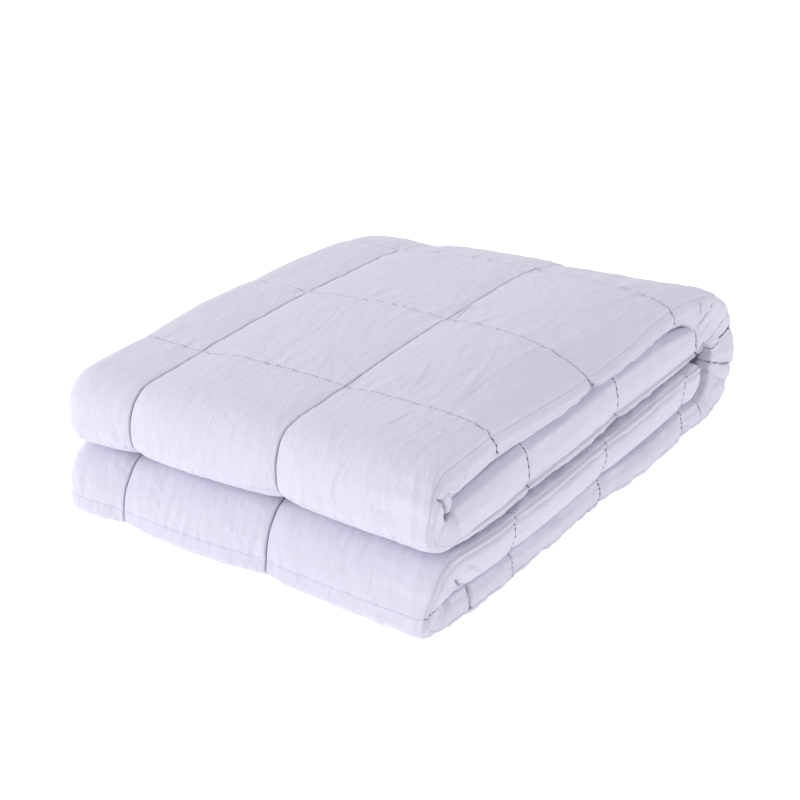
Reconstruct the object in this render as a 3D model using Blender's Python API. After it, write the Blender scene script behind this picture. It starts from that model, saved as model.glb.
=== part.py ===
"""A weighted blanket, quilted in squares and folded into a stack.

The blanket is ten squares wide and fourteen long. Folded twice along its length it is a strip of
four plies, two and a half squares wide: its hems are on the right (+X), its fold on the left.
The strip is then folded across, like a book with two flaps: the two ends turn in, and the middle
is turned over on itself. At the front (-Y) are the two small folds, at the back is the big turn.

The solid is swept along that back-and-forth path. At each section of the path a row says where
the cloth's face and its back lie. The face is the outer side: up on the top layer, out on the
folds, down on the bottom layer. Around a section, each point has a place across the strip,
counted from the hems, and a place through it, from 0 at the back to 1 at the face.
"""

import bpy
import numpy as np

# Driving sizes, in metres
WIDTH = 0.317               # of the strip, from its fold on the left to its hems
DEPTH = 0.4475              # of the stack, from the small folds to the big turn
SQUARE = 0.127              # pitch of the quilting, both ways
GAP = 0.0014                # between two layers
UPPER_FLAP = 0.398          # end of the upper flap, from the front
LOWER_FLAP = 0.385          # end of the lower flap, from the front

# Cross seams, numbered along the path. Three of them show, and fix where the others lie.
FIRST_ON_TOP = 4
SEAM_PLACES = {
    "first on top": 0.0860,         # from the front
    "third on top": 0.3460,
    "on the lower fold": 0.0240,    # height
}

# Heights of the faces between the layers, and how much lower each one lies at the hems
LEVELS = {
    # place:      (height, drop at the hems)
    "floor":      (0.0000, 0.0000),
    "lower pair": (0.0280, 0.0035),
    "halves":     (0.0652, 0.0055),
    "upper pair": (0.0960, -0.0035),
    "top":        (0.1310, -0.0060),
}
HEM_RAMP = 0.100            # the drop grows over this width next to the hems
FRONT_RAMP = 0.100          # and over this length from the front, where the folds stand level
FOLD_SIDE_SINK = 0.0925     # share of its height that the stack loses towards its left side
BACK_SINK = 0.0840          # and again at its back left corner
SINK_FROM = 0.100           # it sinks from here on, counted from the front
SINK_OVER = 0.285           # over this length
LOWER_SHIFT = 0.012         # the lower half's long seams lie this far left of the upper half's
LOWER_SHIFT_LEFT = 0.0063   # and this far at its left side
LOWER_SPREAD = 0.0047       # its hems stand out this much further to the right
BOTTOM_INSET = 0.0058       # the bottom layer's hems lie this far back under them at the front
INSET_END = 0.330           # and no more from here on
BACK_SPREAD = 0.0061        # the big turn stands out this much further back at its hems
TOP_CROWN = {"height": 0.0029, "middle": 0.168, "reach": 0.130}

# The top layer's face curves down to its hems, most in the middle of its length
SHOULDER = {"drop": 0.0280, "width": 0.096, "middle": 0.224, "reach": 0.230}

# The small folds at the front and the big turn at the back
FOLD_REACH = 0.0352         # from the front of a fold to its straight layers
FOLD_SLACK = 0.0020         # length of the small loop inside a fold
FOLD_SHAPE = {
    # fold that ends in:  share of its height where it is widest, power (less is fuller)
    "top":        {"widest": 0.430, "power": 0.77},
    "lower flap": {"widest": 0.245, "power": 0.95},
}
TURN = {
    # place:  (from the front, height); each side of the cloth is two quarter ellipses
    "face":   {"start": 0.287, "widest": (DEPTH, 0.0515), "foot": 0.384},
    "back":   {"start": 0.294, "widest": (0.416, 0.056), "foot": 0.380},
}
TURN_POWER = 1.04           # 1 for plain ellipses, less for fuller ones
CHANGE_LATE = 0.45          # what differs before and after a bend changes in the bend's middle
HANGING_FROM = 0.60         # share of the upper small fold after which its hem starts to hang

# Quilting: each square swells between its seams, and each seam is drawn in as a narrow groove
LONG_SWELL = 0.0036
CROSS_SWELL = 0.0017
PRESSED_SHARE = 0.45        # share of the swell that is left where layers press
LONG_GROOVE = 0.0034
CROSS_GROOVE = 0.0018
GROOVE_HALF = 0.0078        # half of a groove's width
SIDE_PINCH = 0.0022         # how far a cross seam draws the hem side in
SWELL = {
    # squares:  (share of a square that stays flat, power of the curve down to its seams)
    "pressed":  (0.80, 1.4),
    "free":     (0.00, 2.4),
}

# The hem side of the cloth. "in" is the distance inside the hem line. Hanging: the hem lies over
# the edge, as on the top layer. Tucked: it lies along the face, and the plies bulge behind it.
HEM_SIDE = (
    # place,                hanging: in, through,   tucked: in, through
    ("edge of the face",         0.0205, 0.970,         0.0150, 1.000),
    ("turned over",              0.0095, 0.920,         0.0036, 0.970),
    ("hem",                      0.0026, 0.610,         0.0006, 0.880),
    ("hem edge",                 0.0008, 0.330,         0.0003, 0.815),
    ("behind the hem",           0.0050, 0.270,         0.0012, 0.740),
    ("bulge",                    0.0065, 0.140,         0.0000, 0.420),
    ("back of the bulge",        0.0090, 0.050,         0.0034, 0.110),
    ("edge of the back",         0.0160, 0.000,         0.0110, 0.000),
)
FOLD_SIDE_ROUND = 0.019     # how far the fold on the left curves in
END_ROUND = 0.015           # the ends of the flaps are rounded over this length
END_NARROWING = 0.03        # share of its width that a flap loses in its rounded end

# How finely the solid is divided
SQUARE_STEPS = (0.0, 0.06, 0.17, 0.32, 0.5, 0.68, 0.83, 0.94)
END_STEPS = (0.012, 0.10, 0.30, 0.62, 1.0)
PATH_SAMPLES = 120
BACK_POINTS = 6
FOLD_SIDE_POINTS = 7
FACE_MARGIN = 0.001         # no face point stands closer to the edge of the face

FABRIC_COLOUR = (0.66, 0.64, 0.76, 1.0)
FABRIC_ROUGHNESS = 0.9


def ease(share):
    """0 to 1 with level ends."""
    share = np.clip(share, 0, 1)
    return share ** 2 * (3 - 2 * share)


def layer(face, back, up):
    """Heights and drops of a straight layer, half a gap inside the levels that bound it."""
    inside = GAP / 2 if up else -GAP / 2
    face_height, face_drop = LEVELS[face]
    back_height, back_drop = LEVELS[back]
    if face not in ("floor", "top"):
        face_height -= inside
    return {"face_z": face_height, "back_z": back_height + inside,
            "face_drop": face_drop, "back_drop": back_drop}


LAYERS = {
    "upper flap": layer("halves", "upper pair", up=False),
    "top": layer("top", "upper pair", up=True),
    "bottom": layer("floor", "lower pair", up=False),
    "lower flap": layer("halves", "lower pair", up=True),
}
STATES = {
    # how each layer lies: free to swell, hem hanging, in the lower half, and on the floor
    "upper flap": {"free": 0.0, "hanging": 0.0, "lower": 0.0, "floor": 0.0},
    "top":        {"free": 1.0, "hanging": 1.0, "lower": 0.0, "floor": 0.0},
    "bottom":     {"free": 0.0, "hanging": 0.0, "lower": 1.0, "floor": 1.0},
    "lower flap": {"free": 0.0, "hanging": 0.0, "lower": 1.0, "floor": 0.0},
}


def stretch(before, after, face_y, face_z, back_y, back_z):
    """A stretch of the path: arrays by name. What the two layers differ in changes along it."""
    share = ease(np.linspace(-CHANGE_LATE, 1 + CHANGE_LATE, len(face_y)))
    part = {"face_y": face_y, "face_z": face_z, "back_y": back_y, "back_z": back_z}
    first = LAYERS[before] | STATES[before]
    last = LAYERS[after] | STATES[after]
    for name in ("face_drop", "back_drop", "free", "hanging", "lower", "floor"):
        part[name] = first[name] + (last[name] - first[name]) * share
    return part


def run(name, start, end):
    """A straight layer between two places, given from the front."""
    along = np.linspace(start, end, PATH_SAMPLES)
    level = np.ones(PATH_SAMPLES)
    return stretch(name, name, along, level * LAYERS[name]["face_z"],
                   along, level * LAYERS[name]["back_z"])


def small_fold(before, after):
    """A half turn at the front, from one layer to the other: two quarter ellipses."""
    shape = FOLD_SHAPE[after]
    turn = np.linspace(-np.pi / 2, np.pi / 2, PATH_SAMPLES)
    below, above = sorted((before, after), key=lambda name: LAYERS[name]["face_z"])
    low, high = LAYERS[below], LAYERS[above]
    rise = np.sign(turn) * np.abs(np.sin(turn)) ** shape["power"]
    bulge = np.cos(turn).clip(0) ** shape["power"]
    widest = low["face_z"] + (high["face_z"] - low["face_z"]) * shape["widest"]
    face_z = widest + np.where(rise > 0, high["face_z"] - widest, widest - low["face_z"]) * rise
    back_z = (high["back_z"] + low["back_z"] + (high["back_z"] - low["back_z"]) * np.sin(turn)) / 2
    fold = stretch(before, after, FOLD_REACH * (1 - bulge), face_z,
                   FOLD_REACH - FOLD_SLACK * np.cos(turn), back_z)
    fold["free"] = np.maximum(fold["free"], ease(np.cos(turn) * 1.6 - 0.4))
    if after == "top":
        share = np.linspace(0, 1, len(turn))
        fold["hanging"] = ease((share - HANGING_FROM) / (1 - HANGING_FROM))
    return fold


def turn_side(side):
    """One side of the big turn: it slopes from the top, is widest low down, and meets its foot."""
    place = TURN[side]
    widest_y, widest_z = place["widest"]
    top_z, foot_z = (LAYERS[name][side + "_z"] for name in ("top", "bottom"))
    turn = np.linspace(0, np.pi / 2, PATH_SAMPLES)
    rise, fall = np.sin(turn), np.cos(turn).clip(0)
    upper_y = place["start"] + (widest_y - place["start"]) * rise ** TURN_POWER
    upper_z = widest_z + (top_z - widest_z) * fall ** TURN_POWER
    lower_y = place["foot"] + (widest_y - place["foot"]) * fall
    lower_z = widest_z + (foot_z - widest_z) * rise
    return np.append(upper_y, lower_y[1:]), np.append(upper_z, lower_z[1:])


def upper_flap():
    """The upper flap: its end is squeezed thin under the slope of the big turn."""
    flap = run("upper flap", UPPER_FLAP, FOLD_REACH)
    turn_y, turn_z = (side[:PATH_SAMPLES] for side in turn_side("back"))
    under_turn = np.interp(flap["back_y"], turn_y, turn_z) - GAP
    flap["back_z"] = np.minimum(flap["back_z"], under_turn)
    return flap


def fold_path():
    """The whole path, from the end of the upper flap to the end of the lower flap."""
    stretches = [
        upper_flap(),
        small_fold("upper flap", "top"),
        run("top", FOLD_REACH, TURN["face"]["start"]),
        stretch("top", "bottom", *turn_side("face"), *turn_side("back")),
        run("bottom", TURN["face"]["foot"], FOLD_REACH),
        small_fold("bottom", "lower flap"),
        run("lower flap", FOLD_REACH, LOWER_FLAP),
    ]
    path = {name: np.concatenate([part[name][1:] for part in stretches]) for name in stretches[0]}
    steps = np.hypot(np.diff(path["face_y"]), np.diff(path["face_z"]))
    path["length"] = np.append(0.0, np.cumsum(steps))
    return path


def seam_numbers(path):
    """Cross seam numbers along the path: through the three seams that show, plain beyond them."""
    above = path["hanging"] == 1.0
    low = (path["lower"] > 0.5) & (path["face_y"] < FOLD_REACH)
    on_top = np.interp([SEAM_PLACES["first on top"], SEAM_PLACES["third on top"]],
                       path["face_y"][above], path["length"][above])
    on_fold = np.interp(SEAM_PLACES["on the lower fold"], path["face_z"][low], path["length"][low])
    lengths = np.array([on_top[0] - 9 * SQUARE, *on_top, on_fold, on_fold + 9 * SQUARE])
    return np.interp(path["length"], lengths, FIRST_ON_TOP + np.array([-9, 0, 2, 7, 16]))


def sections():
    """The path read at the stations: closer together at the seams and at the rounded ends."""
    path = fold_path()
    length = path["length"]
    seam = seam_numbers(path)
    ends = END_ROUND * np.array(END_STEPS)
    numbers = np.arange(int(seam[0]) - 1, int(seam[-1]) + 1)[:, None] + np.array(SQUARE_STEPS)
    inner = np.interp(numbers.ravel(), seam, length)
    clear = END_ROUND * 1.2
    inner = inner[(inner > clear) & (inner < length[-1] - clear)]
    stations = np.concatenate([ends, inner, length[-1] - ends[::-1]])
    rows = {name: np.interp(stations, length, path[name])[:, None] for name in path}
    rows["row"] = np.interp(stations, length, seam)[:, None] % 1.0
    rows["to_end"] = np.minimum(rows["length"], length[-1] - rows["length"])
    return rows


def groove(share):
    """A narrow valley at each seam: 1 on the seam, 0 outside it."""
    to_seam = SQUARE * (0.5 - np.abs(share - 0.5))
    return np.clip(1 - to_seam / GROOVE_HALF, 0, 1)


def swell_dip(share, free):
    """How far a square's surface has come down towards its seams, 0 on its crest, 1 at a seam."""
    from_middle = np.abs(2 * share - 1)
    dips = [np.clip((from_middle - flat) / (1 - flat), 0, 1) ** power
            for flat, power in (SWELL["pressed"], SWELL["free"])]
    return dips[0] + (dips[1] - dips[0]) * free


def around(hanging):
    """The loop around the cloth, from the left over the face: places across and through."""
    side_in, side_through = np.array([row[1:3] if hanging else row[3:5] for row in HEM_SIDE]).T
    fold_edge = WIDTH - FOLD_SIDE_ROUND
    face = SQUARE * (np.arange(3)[:, None] + np.array(SQUARE_STEPS)).ravel()[::-1]
    face_edge = HEM_SIDE[0][1] + FACE_MARGIN
    face = face[(face > face_edge) & (face < fold_edge)]
    back = np.linspace(2 * HEM_SIDE[-1][1], fold_edge - 4 * FACE_MARGIN, BACK_POINTS)
    turn = np.linspace(0, np.pi, FOLD_SIDE_POINTS)
    across = [face, side_in, back, fold_edge + FOLD_SIDE_ROUND * np.sin(turn)]
    through = [np.ones(len(face)), side_through, np.zeros(len(back)), 0.5 - 0.5 * np.cos(turn)]
    return np.concatenate(across), np.concatenate(through)


def blanket_points():
    """All points of the solid: a row for each station on the path, a column for each place."""
    rows = sections()
    hang, tuck = around(True), around(False)
    across = tuck[0] + (hang[0] - tuck[0]) * rows["hanging"]
    through = tuck[1] + (hang[1] - tuck[1]) * rows["hanging"]

    # Seams: the long ones run along the path, the cross seams across it
    column = (across / SQUARE) % 1.0
    row = np.broadcast_to(rows["row"], across.shape)
    past_hems = across > SQUARE / 2
    lift = PRESSED_SHARE + (1 - PRESSED_SHARE) * rows["free"]
    dip = LONG_SWELL * lift * swell_dip(column, rows["free"]) + LONG_GROOVE * groove(column)
    dip = dip * past_hems + CROSS_SWELL * lift * swell_dip(row, rows["free"]) + CROSS_GROOVE * groove(row)
    bulge = 4 * through * (1 - through)
    across = across + SIDE_PINCH * swell_dip(row, 1.0) * bulge * ~past_hems

    # Rounded ends of the flaps
    near_end = np.clip(1 - rows["to_end"] / END_ROUND, 0, 1)
    fullness = np.sqrt(1 - near_end ** 2)
    through = 0.5 + (through - 0.5) * fullness
    across = WIDTH / 2 + (across - WIDTH / 2) * (1 - END_NARROWING * near_end ** 2)

    # The face and the back at each place, and the point between them
    ramp = ease(1 - across / HEM_RAMP)
    face_y, back_y = rows["face_y"], rows["back_y"]
    face_z = rows["face_z"] - rows["face_drop"] * ramp * ease(face_y / FRONT_RAMP)
    shoulder = rows["hanging"] * ease(1 - np.abs(face_y - SHOULDER["middle"]) / SHOULDER["reach"])
    face_z = face_z - SHOULDER["drop"] * shoulder * np.clip(1 - across / SHOULDER["width"], 0, 1) ** 2
    back_z = rows["back_z"] - rows["back_drop"] * ramp * ease(back_y / FRONT_RAMP)
    thickness = np.hypot(face_y - back_y, face_z - back_z)
    through = through - np.clip(2 * through - 1, 0, 1) * dip / thickness * fullness
    shift = np.interp(across, (0, SQUARE, 2 * SQUARE, WIDTH),
                      (0, LOWER_SHIFT, LOWER_SHIFT, LOWER_SHIFT_LEFT))
    shift = shift - LOWER_SPREAD * ramp * ease(face_y / FRONT_RAMP)
    shift = shift + BOTTOM_INSET * ramp * rows["floor"] * ease((INSET_END - face_y) / 0.15)
    x = -across - shift * rows["lower"]
    y = back_y + (face_y - back_y) * through
    y = y + BACK_SPREAD * ramp * ease((y - 0.30) / 0.12)
    z = back_z + (face_z - back_z) * through

    # A low crown on the top layer. The stack sinks towards its left side, most at the back.
    crown = TOP_CROWN["height"] * ease(1 - np.abs(y - TOP_CROWN["middle"]) / TOP_CROWN["reach"])
    upper_pair, top = LEVELS["upper pair"][0], LEVELS["top"][0]
    z = z + crown * ease(2 * (z - upper_pair) / (top - upper_pair))
    to_left = np.clip((across - SQUARE) / (WIDTH - SQUARE), 0, None)
    to_back = np.clip((y - SINK_FROM) / SINK_OVER, 0, 1.3)
    z = z * (1 - (FOLD_SIDE_SINK + BACK_SINK * to_back) * to_left)
    points = np.stack([x, y, z], axis=-1)
    low, high = points.min(axis=(0, 1)), points.max(axis=(0, 1))
    middle = (low + high) / 2
    return points - (middle[0], middle[1], low[2])


def fabric():
    """Plain cotton, a pale grey lilac."""
    material = bpy.data.materials.new("quilted_cotton")
    material.use_nodes = True
    shader = material.node_tree.nodes["Principled BSDF"]
    shader.inputs["Base Color"].default_value = FABRIC_COLOUR
    shader.inputs["Roughness"].default_value = FABRIC_ROUGHNESS
    shader.inputs["Metallic"].default_value = 0.0
    return material


def blanket():
    """One closed skin: quads between the stations, and a lid on each end of the strip."""
    points = blanket_points()
    stations, places = points.shape[:2]
    index = np.arange(stations * places).reshape(stations, places)
    beside = np.roll(index, -1, axis=1)
    quads = np.stack([index[:-1], beside[:-1], beside[1:], index[1:]], axis=-1)
    faces = quads.reshape(-1, 4).tolist()
    faces.append(index[0][::-1].tolist())
    faces.append(index[-1].tolist())
    mesh = bpy.data.meshes.new("blanket")
    mesh.from_pydata(points.reshape(-1, 3).tolist(), [], faces)
    mesh.update()
    mesh.materials.append(fabric())
    mesh.shade_smooth()
    obj = bpy.data.objects.new("blanket", mesh)
    bpy.context.scene.collection.objects.link(obj)
    return obj


for old in list(bpy.data.objects):
    bpy.data.objects.remove(old)
blanket()
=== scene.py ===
# %% [markdown]
# # A weighted blanket, quilted in squares and folded into a stack
#
# The real thing is two cotton covers sewn together in squares, with a soft filling between them.
# It lies folded four plies deep into a strip, and the strip is folded like a book with two flaps.
# The lesson builds the outer skin of that stack, one length of the strip after another, and then
# sews it: seams, puckers, creases, and each stitch that shows.

# %% The frame
import math
import bpy
import numpy as np
from mathutils import Matrix, Vector


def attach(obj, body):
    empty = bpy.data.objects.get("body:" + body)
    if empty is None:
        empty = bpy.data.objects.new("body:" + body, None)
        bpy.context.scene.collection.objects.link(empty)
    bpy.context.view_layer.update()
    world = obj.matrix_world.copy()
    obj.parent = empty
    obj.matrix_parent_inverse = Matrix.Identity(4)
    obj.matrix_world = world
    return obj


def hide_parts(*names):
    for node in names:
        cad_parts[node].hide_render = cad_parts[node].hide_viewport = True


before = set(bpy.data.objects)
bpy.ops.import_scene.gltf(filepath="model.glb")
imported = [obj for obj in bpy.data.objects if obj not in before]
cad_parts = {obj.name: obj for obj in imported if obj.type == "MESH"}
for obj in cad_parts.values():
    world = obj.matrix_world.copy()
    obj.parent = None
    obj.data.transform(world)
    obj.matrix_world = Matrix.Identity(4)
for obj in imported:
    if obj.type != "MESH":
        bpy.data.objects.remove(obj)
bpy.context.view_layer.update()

# %% [markdown]
# ## The camera
#
# The view is a long lens from the front right, a good way off, so that the stack's far edges are
# hardly smaller than its near ones. A camera could be aimed with a constraint. Here its three
# axes are written out from the azimuth and the elevation. Those, the place and the lens come from
# a least-squares fit to points that can be seen in the photograph.

# %% Camera
CAMERA_AZIMUTH = math.radians(33.869)
CAMERA_ELEVATION = math.radians(27.323)
CAMERA_PLACE = Vector((0.75102, -1.14359, 0.75313))
LENS_MM = 90.31
SENSOR_MM = 36.0

right = Vector((math.cos(CAMERA_AZIMUTH), math.sin(CAMERA_AZIMUTH), 0))
back = Vector((math.sin(CAMERA_AZIMUTH) * math.cos(CAMERA_ELEVATION),
               -math.cos(CAMERA_AZIMUTH) * math.cos(CAMERA_ELEVATION),
               math.sin(CAMERA_ELEVATION)))
camera = bpy.data.objects.new("camera", bpy.data.cameras.new("camera"))
camera.data.lens = LENS_MM
camera.data.sensor_width = SENSOR_MM
axes = Matrix((right, back.cross(right), back)).transposed()
camera.matrix_world = Matrix.Translation(CAMERA_PLACE) @ axes.to_4x4()
bpy.context.scene.collection.objects.link(camera)
bpy.context.scene.camera = camera
print("camera", round(CAMERA_PLACE.length, 2), "m from the middle of the stack's foot")

# %% [markdown]
# ## Shader maths as plain sums
#
# A cloth's colour and relief are formulas over its surface. Clicked together as nodes they are
# hard to read, so one small class wraps a node's output, and an ordinary Python expression on it
# adds the Math nodes. Numbers that are the same everywhere never pass through it: they are set
# on the shader's own sockets.

# %% A number that varies over the cloth
class Field:
    """An output socket that can be added, subtracted and multiplied, on either side."""

    def __init__(self, tree, socket):
        self.tree = tree
        self.socket = socket

    def maths(self, operation, *values):
        node = self.tree.nodes.new("ShaderNodeMath")
        node.operation = operation
        for number, value in enumerate(values):
            if isinstance(value, Field):
                self.tree.links.new(value.socket, node.inputs[number])
            else:
                node.inputs[number].default_value = value
        return Field(self.tree, node.outputs[0])

    def __add__(self, other):
        return self.maths("ADD", self, other)

    def __sub__(self, other):
        return self.maths("SUBTRACT", self, other)

    def __rsub__(self, other):
        return self.maths("SUBTRACT", other, self)

    def __mul__(self, other):
        return self.maths("MULTIPLY", self, other)

    __radd__ = __add__
    __rmul__ = __mul__

    def wave(self):
        return self.maths("SINE", self)

    def power(self, exponent):
        return self.maths("POWER", self, exponent)

# %% A material
class Finish:
    """A new material with one method for every node that isn't maths."""

    def __init__(self, name, **constants):
        """Constants go to the shader's own sockets: Base_Color stands for Base Color."""
        self.material = bpy.data.materials.new(name)
        self.material.use_nodes = True
        self.tree = self.material.node_tree
        self.shader = self.tree.nodes["Principled BSDF"]
        for place, value in constants.items():
            self.shader.inputs[place.replace("_", " ")].default_value = value

    def node(self, kind, output, settings=None, inputs=None):
        """One node: its settings first, then the values or links of its sockets."""
        node = self.tree.nodes.new(kind)
        for setting, value in (settings or {}).items():
            setattr(node, setting, value)
        for place, value in (inputs or {}).items():
            if isinstance(value, Field):
                self.tree.links.new(value.socket, node.inputs[place])
            else:
                node.inputs[place].default_value = value
        return Field(self.tree, node.outputs[output])

    def mix(self, share, first, second):
        """A colour between two. A Mix node has one set of sockets a type: 6, 7 and 2 are colours."""
        return self.node("ShaderNodeMix", 2, {"data_type": "RGBA"}, {0: share, 6: first, 7: second})

    def show(self, **fields):
        """Fields to the shader's sockets, named as the constants are."""
        for place, field in fields.items():
            self.tree.links.new(field.socket, self.shader.inputs[place.replace("_", " ")])

# %% [markdown]
# ## The cotton
#
# The cover is a plain cotton weave, washed soft, pale grey with a breath of lilac. Its threads
# are about half a millimetre apart, finer than a pixel here, so they are bump and not mesh. A
# painted texture would be one way. Two sine waves at right angles are enough for a plain weave,
# and they follow the cloth over every fold, because they read the pieces' own UV maps, in metres.

# %% Cotton
THREAD_PITCH = 0.00055
THREAD_RELIEF = 0.00003
STITCH_PITCH = 0.0034
COTTON = (0.665, 0.645, 0.765, 1.0)
COTTON_SHADE = (0.640, 0.619, 0.742, 1.0)
PAINTED_SEAM_SHADE = (0.10, 0.09, 0.13, 1.0)    # painted shade deep in the seams, the needle holes and the deep creases
LONG_DARK, HOLE_DARK, SEAM_LINE_SHADE, HEM_DARK = 0.70, 0.85, 0.10, 0.30    # shares of that painted shade: long seams, needle holes, cross seam lines, hem
CRUMPLE_RELIEF = 0.00110
FINE_CRUMPLE_RELIEF = CRUMPLE_RELIEF / 6
CRUMPLE_STRETCH = 0.42                  # it runs more along the strip than across
PATCHES, FLECKS, PALE = 1.2, 0.5, 0.35  # weights of the tone's two noises, and what is taken off
NOISE = {
    # noise:           cells in a metre, detail
    "crumple":         (150, 3),
    "fine crumple":    (520, 2),
    "patches":         (9, 4),
    "flecks":          (900, 2),
}


def cotton():
    """Weave: two sine waves. Crumple: noise in two sizes. Colour: two tones, with painted shade in the
    seams and deep creases.
    """
    finish = Finish("quilted_cotton", Roughness=0.88, Specular_IOR_Level=0.25, Sheen_Weight=0.25,
                    Sheen_Roughness=0.45)
    place = finish.node("ShaderNodeUVMap", "UV", {"uv_map": "cloth"})
    girth, length = (finish.node("ShaderNodeSeparateXYZ", axis, inputs={"Vector": place}) for axis in "XY")
    stretched = finish.node("ShaderNodeVectorMath", "Vector", {"operation": "MULTIPLY"},
                            {0: place, 1: (1.0, CRUMPLE_STRETCH, 1.0)})

    def turns(measure, pitch):
        return measure * (2 * math.pi / pitch)

    def noise(kind, where=place):
        scale, detail = NOISE[kind]
        return finish.node("ShaderNodeTexNoise", "Fac", {"noise_dimensions": "2D"},
                           {"Vector": where, "Scale": scale, "Detail": detail, "Roughness": 0.55})

    def hole_shade(measure):
        """Painted shade in the needle holes between the stitches: a squared sine wave, 1 at whole numbers
        of the pitch.
        """
        return ((turns(measure, STITCH_PITCH) + math.pi / 2).wave() * 0.5 + 0.5).power(2)

    def sewn(name):
        return finish.node("ShaderNodeAttribute", "Fac", {"attribute_name": name})

    weave = turns(girth, THREAD_PITCH).wave() * turns(length, THREAD_PITCH).wave()
    relief = (weave * THREAD_RELIEF + noise("crumple", stretched) * CRUMPLE_RELIEF
              + noise("fine crumple") * FINE_CRUMPLE_RELIEF)
    tone = noise("patches") * PATCHES + noise("flecks") * FLECKS - PALE
    # painted shade: the seams, the needle holes and the deep creases are darkened in the colour, where
    # shade falls
    painted_shade = (sewn("long_seam_crease_painted_shade") * LONG_DARK + sewn("cross_seam_painted_shade") * (hole_shade(girth) * HOLE_DARK + SEAM_LINE_SHADE)
            + sewn("hem_seam_painted_shade") * (hole_shade(length) * HEM_DARK))
    finish.show(Base_Color=finish.mix(painted_shade, finish.mix(tone, COTTON_SHADE, COTTON), PAINTED_SEAM_SHADE),
                Normal=finish.node("ShaderNodeBump", "Normal",
                                   inputs={"Height": relief, "Distance": 1.0, "Strength": 1.0}))
    return finish.material


cotton_finish = cotton()
print("cotton with", len(cotton_finish.node_tree.nodes), "nodes")

# %% [markdown]
# ## How the blanket is folded
#
# Four plies are folded into a strip two and a half squares wide, its hems on the right and its
# fold on the left. The strip runs back and forth: the upper flap, a small fold at the front, the
# top, the big turn at the back, the bottom, a small fold at the front, the lower flap. Draping a
# flat blanket in a simulation would fold it somehow. A path worked out from sizes folds it the
# way this one lies. At each place on the path, a row says where the strip's face and back are.
# The face is on the outside of every fold, and the back on its inside. Where the two flaps meet,
# half way up, face lies on face.

# %% Sizes of the stack, in metres
SQUARE = 0.127              # pitch of the quilting, both ways
WIDTH = 0.317               # of the strip
GAP = 0.0014                # between two layers
UPPER_FLAP, LOWER_FLAP = 0.398, 0.385       # how far the flaps reach from the front
MIDDLE = (0.1593, 0.22643)  # of the stack, from its hem line and from its front
LEVELS = {
    # level:           height, drop at the hems
    "floor":           (0.0, 0.0),
    "lower pair":      (0.0280, 0.0035),
    "halves":          (0.0652, 0.0055),
    "upper pair":      (0.0960, -0.0035),
    "top":             (0.1310, -0.0060),
}
CHANGE_LATE = 0.45          # how long a fold waits before it changes from layer to layer
PATH_SAMPLES = 500          # in each stretch
TINY = 1e-12                # metres, less than any rounding here


def ease(share):
    """0 to 1 with level ends: 3 s^2 - 2 s^3."""
    share = np.clip(share, 0, 1)
    return share ** 2 * (3 - 2 * share)


def between(value, start, full):
    """0 at the start and before it, eased to 1 at full and after it. It may run downwards."""
    return ease((value - start) / (full - start))


def near(distance, reach):
    """1 at a distance of 0, eased to 0 at the reach."""
    return ease(1 - np.abs(distance) / reach)

# %% The straight layers
STATES = ("free", "hanging", "lower", "floor")      # each is 1 where a layer is so


def layer(face, back, *states):
    """Heights and drops of a layer: its face and back lie half a gap inside their levels."""
    (face_height, face_drop), (back_height, back_drop) = LEVELS[face], LEVELS[back]
    inside = GAP / 2 if face_height > back_height else -GAP / 2
    if face not in ("floor", "top"):
        face_height -= inside
    return {"face_z": face_height, "back_z": back_height + inside,
            "face_drop": face_drop, "back_drop": back_drop,
            **{state: float(state in states) for state in STATES}}


LAYERS = {
    "upper flap": layer("halves", "upper pair"),
    "top": layer("top", "upper pair", "free", "hanging"),
    "bottom": layer("floor", "lower pair", "lower", "floor"),
    "lower flap": layer("halves", "lower pair", "lower"),
}


def stretch(before, after, face_y, face_z, back_y, back_z):
    """A stretch of the path. What differs before and after it changes in its middle."""
    share = ease(np.linspace(-CHANGE_LATE, 1 + CHANGE_LATE, len(face_y)))
    part = {"face_y": face_y, "face_z": face_z, "back_y": back_y, "back_z": back_z}
    for name in ("face_drop", "back_drop", *STATES):
        part[name] = LAYERS[before][name] + (LAYERS[after][name] - LAYERS[before][name]) * share
    return part


def run(name, start, end):
    """A straight layer between two places, given from the front."""
    along = np.linspace(start, end, PATH_SAMPLES)
    face_z, back_z = (np.full(PATH_SAMPLES, LAYERS[name][side]) for side in ("face_z", "back_z"))
    return stretch(name, name, along, face_z, along, back_z)


for name, one in LAYERS.items():
    print(name, "is", round(1000 * abs(one["face_z"] - one["back_z"]), 1), "mm thick")

# %% The folds
FOLD_REACH, FOLD_SLACK = 0.0352, 0.0020     # how far a small fold's face and back bend forwards
FOLD_WIDEST = {"top": 0.430, "lower flap": 0.245}   # share of its height where it is widest
FOLD_POWER = {"top": 0.77, "lower flap": 0.95}      # 1 for ellipses, less for fuller ones
FOLD_FREE = (0.25, 0.875)   # cosines of its turn where it starts to come free, and is fully so
HANGING_FROM = 0.60         # share of the upper small fold after which its hem starts to hang
TURN = {
    # where the big turn leaves the top, is widest, and meets the bottom
    "face": {"start": 0.287, "widest": (0.4475, 0.0515), "foot": 0.384},
    "back": {"start": 0.294, "widest": (0.416, 0.056), "foot": 0.380},
}
TURN_POWER = 1.04


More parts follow.
